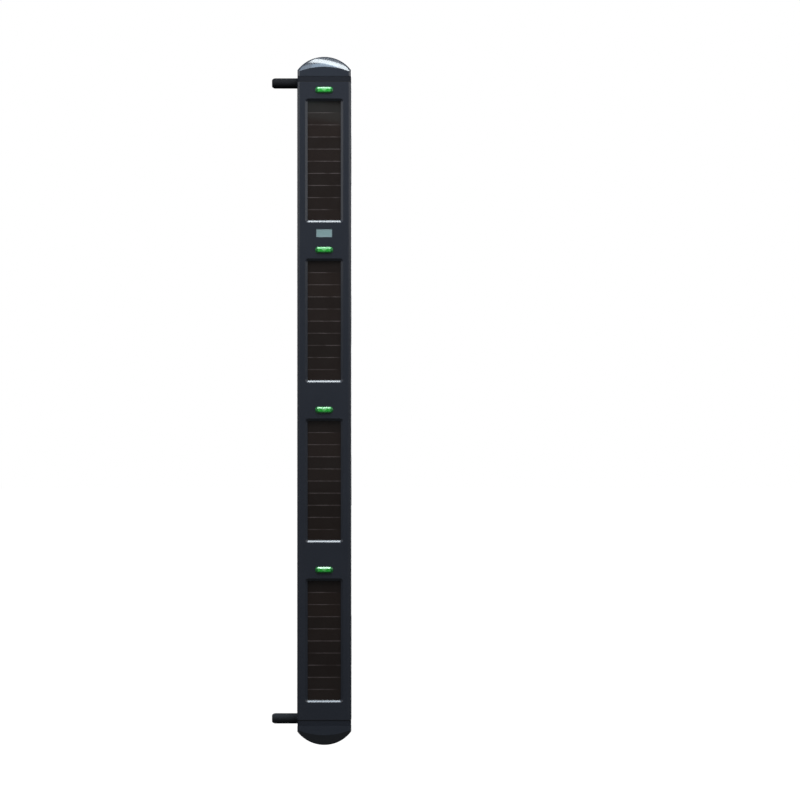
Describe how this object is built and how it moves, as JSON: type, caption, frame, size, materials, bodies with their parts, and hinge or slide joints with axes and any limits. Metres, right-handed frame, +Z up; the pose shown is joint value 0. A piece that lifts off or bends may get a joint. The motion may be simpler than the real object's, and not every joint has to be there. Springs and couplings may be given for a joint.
{
  "type": "wireless photo beam sensor",
  "caption": "Slim upright solar powered beam sensor bar with domed end caps, recessed solar windows, green indicator lenses, a small display and side mounting arms.",
  "frame": {"origin": "midway between the two arm ends, on the wall face that the arm ends bear on", "axes": "+X from the wall towards the bar, which is the side the beams leave by, -Y out of the front with the solar windows, +Z up along the bar"},
  "size_m": [0.0958, 0.0478, 0.827],
  "materials": {
    "cover_moulding": "satin dark grey moulding",
    "housing_coating": "satin dark grey powder coat on aluminium",
    "cap_moulding": "glossy dark grey moulding",
    "bracket_coating": "black coating on a casting",
    "gasket_rubber": "black rubber",
    "solar_glass": "brown black thin film cells behind glass",
    "seal_foam": "black foam",
    "indicator_green": "clear green moulding",
    "display_pane": "grey green pane",
    "display_body": "grey display body",
    "beam_filter": "dark infrared filter",
    "lens_clear": "clear moulded lens",
    "holder_black": "black moulding",
    "board_green": "green lacquered circuit board",
    "diode_clear": "clear diode body",
    "contact_plate": "plated spring strip",
    "cell_sleeve": "blue shrink sleeve on a steel can",
    "radio_shield": "tinned shield can",
    "antenna_rubber": "black rubber sleeve",
    "insert_brass": "turned brass",
    "screw_steel": "plated steel"
  },
  "bodies": {
    "root": {"front_cover": "cover_moulding", "rear_housing": "housing_coating", "top_cap": "cap_moulding", "bottom_cap": "cap_moulding", "top_bracket": "bracket_coating", "bottom_bracket": "bracket_coating", "top_gasket": "gasket_rubber", "bottom_gasket": "gasket_rubber", "solar_panel_1": "solar_glass", "solar_panel_2": "solar_glass", "solar_panel_3": "solar_glass", "solar_panel_4": "solar_glass", "panel_seal_1": "seal_foam", "panel_seal_2": "seal_foam", "panel_seal_3": "seal_foam", "panel_seal_4": "seal_foam", "indicator_lens_1": "indicator_green", "indicator_lens_2": "indicator_green", "indicator_lens_3": "indicator_green", "indicator_lens_4": "indicator_green", "display_window": "display_pane", "display_module": "display_body", "beam_window_1": "beam_filter", "beam_window_2": "beam_filter", "beam_window_3": "beam_filter", "beam_window_4": "beam_filter", "beam_lens_1": "lens_clear", "beam_lens_2": "lens_clear", "beam_lens_3": "lens_clear", "beam_lens_4": "lens_clear", "lens_holder_1": "holder_black", "lens_holder_2": "holder_black", "lens_holder_3": "holder_black", "lens_holder_4": "holder_black", "battery_holder": "holder_black", "board_connector": "holder_black", "emitter_board_1": "board_green", "emitter_board_2": "board_green", "emitter_board_3": "board_green", "emitter_board_4": "board_green", "main_board_upper": "board_green", "main_board_lower": "board_green", "infrared_diodes": "diode_clear", "indicator_leds": "diode_clear", "panel_contacts": "contact_plate", "battery_contacts": "contact_plate", "battery_cell_upper": "cell_sleeve", "battery_cell_lower": "cell_sleeve", "radio_module": "radio_shield", "antenna": "antenna_rubber", "threaded_inserts": "insert_brass", "cap_screws": "screw_steel", "holder_screws": "screw_steel"}
  },
  "joints": []
}
